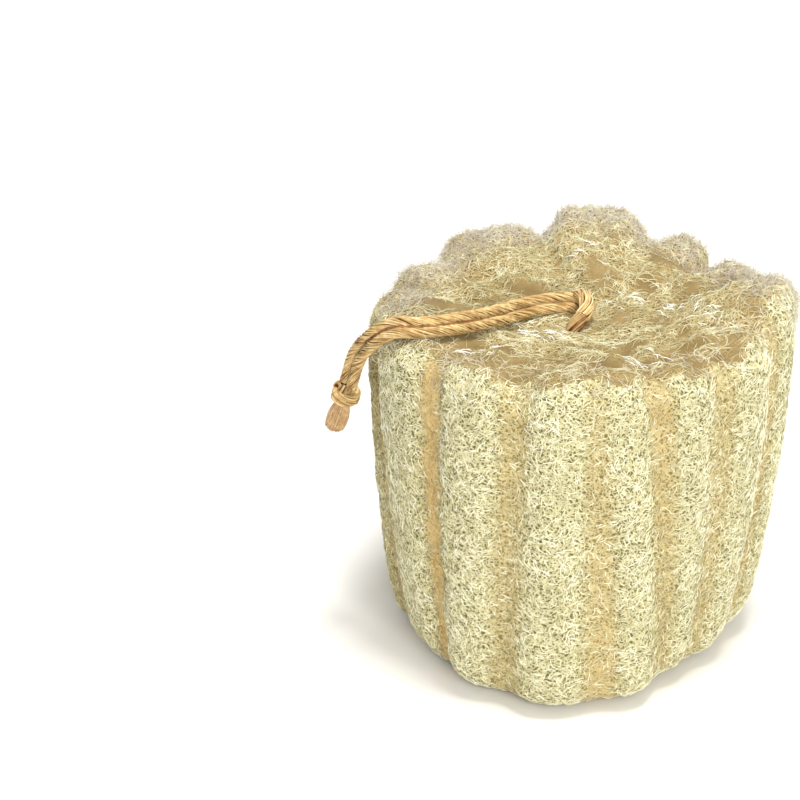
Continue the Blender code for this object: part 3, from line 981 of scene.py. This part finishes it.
def tapered(count, thick, rng):
    """Radii of a fibre that thins towards both ends."""
    body_thick = thick * rng.uniform(0.8, 1.2)
    along = [math.sin(math.pi * (k + 0.6) / (count + 0.2)) for k in range(count)]
    return [body_thick * (0.45 + 0.55 * share) for share in along]


# %% [markdown]
# ## The net on the side
# On the lobes the fibres lie close. The lower ones cross the upper ones, and the upper ones run
# side by side in swirls like the lines of a fingerprint, so that short dark slits stay open
# between them. In the furrows few stand out.


# %% The side's fibres
FOOT = 1.5 * MM
SIDE_STEP = 0.95 * MM


def on_lobes(place, normal):
    return (1 - top_share(normal, place)) * (1 - furrow_share(place)) * (place.z > FOOT)


def side_layer(name, count, turn, spread, lifts, thick, finish, seed):
    """A layer of short fibres on the lobes, lifted by between two heights in millimetres."""
    rng = random.Random(seed)
    low, high = lifts[0] * MM, lifts[1] * MM
    lines = []
    for place, normal in spots(count, on_lobes, rng):
        middle_lift = rng.uniform(low, high)
        phase = rng.uniform(0, math.pi)

        def lift(share):
            wave = 0.06 * MM * math.sin(phase + share * 5)
            return middle_lift + wave - 0.14 * MM * (2 * share - 1) ** 4

        heading = swirl(place, normal, spread, rng)
        heading.rotate(Quaternion(normal, turn))
        count_of_steps, bend = rng.randrange(2, 4), rng.uniform(-0.35, 0.35)
        points = creep(place, heading, count_of_steps, SIDE_STEP, lift, 0.18, bend, rng)
        if len(points) > 2:
            # Fibres on the flanks take the fawn finish, which down the left flank is painted shade.
            tan = int(rng.random() < 0.85 * flank_share(place))
            lines.append((points, tapered(len(points), thick, rng), tan))
    made = tubes(name, lines, 3, finish, FAWN)
    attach(made, "root")


side_layer("side_fibres_low", 9000, 1.25, 0.45, (0.0, 0.10), 0.14 * MM, CREAM, 11)
side_layer("side_fibres_mid", 11000, 0, 0.25, (0.05, 0.18), 0.14 * MM, CREAM, 12)
# The upper layer's pale finish is a painted highlight.
side_layer("side_fibres_high", 6500, 0, 0.35, (0.12, 0.28), 0.13 * MM, PALE_HIGHLIGHT, 13)


# %% Fibres in the furrows
def in_furrows(place, normal):
    return (1 - top_share(normal, place)) * furrow_share(place) * (place.z > FOOT)


def flat_fibres(seed, count, wanted, spread, highest, steps, step, wobble, bend):
    """Fine straw fibres that creep at one height each, up to highest millimetres."""
    rng = random.Random(seed)
    lines = []
    for place, normal in spots(count, wanted, rng):
        heading = swirl(place, normal, spread, rng)
        height = rng.uniform(-0.05, highest) * MM
        reach, turn = rng.randrange(*steps), rng.uniform(-bend, bend)
        points = creep(place, heading, reach, step, lambda share: height, wobble, turn, rng)
        lines.append((points, tapered(len(points), 0.11 * MM, rng)))
    return lines


lines = flat_fibres(14, 1900, in_furrows, 0.9, 0.12, (2, 4), 0.9 * MM, 0.2, 0.2)
furrow_fibres = tubes("furrow_fibres", lines, 3, STRAW)
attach(furrow_fibres, "root")

# %% [markdown]
# ## The cut top
# Where the gourd was cut, the inner fibres show: longer, further apart, and branching like
# twigs over soft tan hollows. Each strand may throw a branch, and a branch another.


# %% The top's branching strands
TWIG_STEP = 1.05 * MM
FORKS = (0, 1, 1, 2)


def on_top(place, normal):
    """How likely a strand is: high on the cut top's clusters, low in its hollows."""
    return top_share(normal, place) * (0.10 + 0.90 * cluster_share(place))


def twig(place, heading, steps, thick, lift_height, rng, lines, depth=0):
    """A strand over the top, with its branches."""
    arch = rng.uniform(0.2, 1.0) * lift_height

    def lift(share):
        return 0.05 * MM + arch * math.sin(math.pi * min(1, share + 0.1 * depth))

    bend = rng.uniform(-0.14, 0.14)
    points = creep(place, heading.copy(), steps, TWIG_STEP, lift, 0.14, bend, rng)
    if len(points) < 3:
        return
    lines.append((points, tapered(len(points), thick, rng)))
    if depth < 2:
        for _ in range(rng.choice(FORKS)):
            k = rng.randrange(1, len(points) - 1)
            side = rng.choice((-1, 1)) * rng.uniform(0.45, 0.9)
            away = points[k + 1] - points[k]
            away.rotate(Quaternion((0, 0, 1), side))
            away.normalize()
            shorter, thinner = max(2, steps // 2), thick * 0.9
            twig(points[k], away, shorter, thinner, lift_height, rng, lines, depth + 1)


rng = random.Random(15)
lines = []
for place, normal in spots(2300, on_top, rng):
    heading = swirl(place, normal, 1.2, rng)
    twig(place, heading, rng.randrange(3, 6), 0.10 * MM, 0.5 * MM, rng, lines)
top_strands = tubes("top_strands", lines, 3, WAN)
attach(top_strands, "root")

# %% Frayed bundles where the cut teased the fibres out, near white as a painted highlight where they glint
BUNDLES = (
    (41, 7), (-1, 36), (13, 14), (26, 3), (36, -8), (-18, -9), (-32, -31), (17, -37), (-10, -12)
)
TWIGS_A_BUNDLE = 10
ABOVE_ALL = 125
rng = random.Random(19)
lines = []
for x, y in BUNDLES:
    lay = rng.uniform(-0.7, 0.7)
    for _ in range(TWIGS_A_BUNDLE):
        above = Vector((x + rng.gauss(0, 3.4), y + rng.gauss(0, 3.2), ABOVE_ALL)) * MM
        place, normal, _, _ = surface.ray_cast(above, Vector((0, 0, -1)))
        if place is None:
            continue
        east, north = math.cos(lay + rng.gauss(0, 0.5)), math.sin(lay + rng.gauss(0, 0.5))
        heading = Vector((east, north, 0))
        twig(place, heading, rng.randrange(2, 5), 0.12 * MM, 0.9 * MM, rng, lines, 1)
bundles = tubes("glint_bundles", lines, 3, GLINT)
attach(bundles, "root")

# %% The finer fibres between them
lines = flat_fibres(16, 2400, on_top, 1.2, 0.20, (2, 5), 1.1 * MM, 0.18, 0.15)
top_fibres = tubes("top_fibres", lines, 3, STRAW)
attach(top_fibres, "root")

# %% [markdown]
# ## Fuzz along the cut
# The knife left short ends standing all along the rim, and a few more stick out of the side.
# They break up the outline, which is where a modelled sponge is first seen to be false.


# %% Short ends that stand off the surface
def fuzz(name, count, wanted, length, thick, finish, seed):
    """A piece of short hooked ends that grow where wanted(place, normal) allows."""
    rng = random.Random(seed)
    lines = []
    for place, normal in spots(count, wanted, rng):
        heading = swirl(place, normal, 3, rng)
        grow = (heading + normal * rng.uniform(0.25, 1.0)).normalized()
        reach = length * rng.uniform(0.5, 1.3)
        hook = rng.uniform(-0.35, 0.25)
        points = [place + normal * 0.1 * MM]
        for _ in range(2):
            points.append(points[-1] + grow * reach / 2)
            grow = (grow + normal * hook * 1.5 + heading * rng.uniform(-0.3, 0.3)).normalized()
        lines.append((points, [thick, thick * 0.85, thick * 0.4]))
    made = tubes(name, lines, 3, finish)
    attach(made, "root")


def on_rim(place, normal):
    out = smoothstep(44 * MM, 56 * MM, math.hypot(place.x, place.y))
    behind = 0.12 + 0.88 * smoothstep(-25 * MM, 20 * MM, place.y)
    return out * smoothstep(0.90, 0.98, place.z / HEIGHT) * behind


def on_side(place, normal):
    near_lobes = 1 - 0.8 * furrow_share(place)
    return (1 - top_share(normal, place)) * near_lobes * (place.z > 2 * FOOT)


fuzz("rim_fuzz", 5600, on_rim, 3.2 * MM, 0.078 * MM, DOWN, 17)
fuzz("side_fuzz", 2200, on_side, 1.0 * MM, 0.085 * MM, CREAM, 18)

# %% The visible body replaces the solid
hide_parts("loofah")

# %% [markdown]
# ## Floor and light
# The photograph has a white ground, a soft shadow towards the lower left, and light from the
# upper right. One large panel at the front lights the side, a smaller and stronger one overhead
# lights the top and throws the close shadow, and the world lifts the rest.

# %% Floor
PAPER = (0.92, 0.91, 0.895, 1)
shape = bmesh.new()
bmesh.ops.create_grid(shape, x_segments=1, y_segments=1, size=3)
mesh = bpy.data.meshes.new("floor")
shape.to_mesh(mesh)
shape.free()
floor = added("floor", mesh)
paper = bpy.data.materials.new("white_paper")
paper.use_nodes = True
shader = paper.node_tree.nodes["Principled BSDF"]
shader.inputs["Base Color"].default_value = PAPER
shader.inputs["Roughness"].default_value = 0.9
floor.data.materials.append(paper)


# %% Lights
def panel(name, place, size, power, colour):
    """A square soft light that looks at the sponge."""
    data = bpy.data.lights.new(name, "AREA")
    data.size = size
    data.energy = power
    data.color = colour
    made = added(name, data)
    made.location = place
    made.rotation_euler = (AIM - Vector(place)).to_track_quat("-Z", "Y").to_euler()


panel("key_light", (0.34, -1.18, 0.60), size=0.6, power=12.0, colour=(1.0, 0.99, 0.96))
panel("top_light", (0.15, -0.14, 1.3), size=0.35, power=16.0, colour=(1.0, 0.99, 0.97))
world = bpy.data.worlds.new("studio")
world.use_nodes = True
background = world.node_tree.nodes["Background"]
background.inputs["Color"].default_value = (1.0, 0.99, 0.965, 1)
background.inputs["Strength"].default_value = 0.60
bpy.context.scene.world = world
bpy.context.scene.view_settings.view_transform = "Standard"
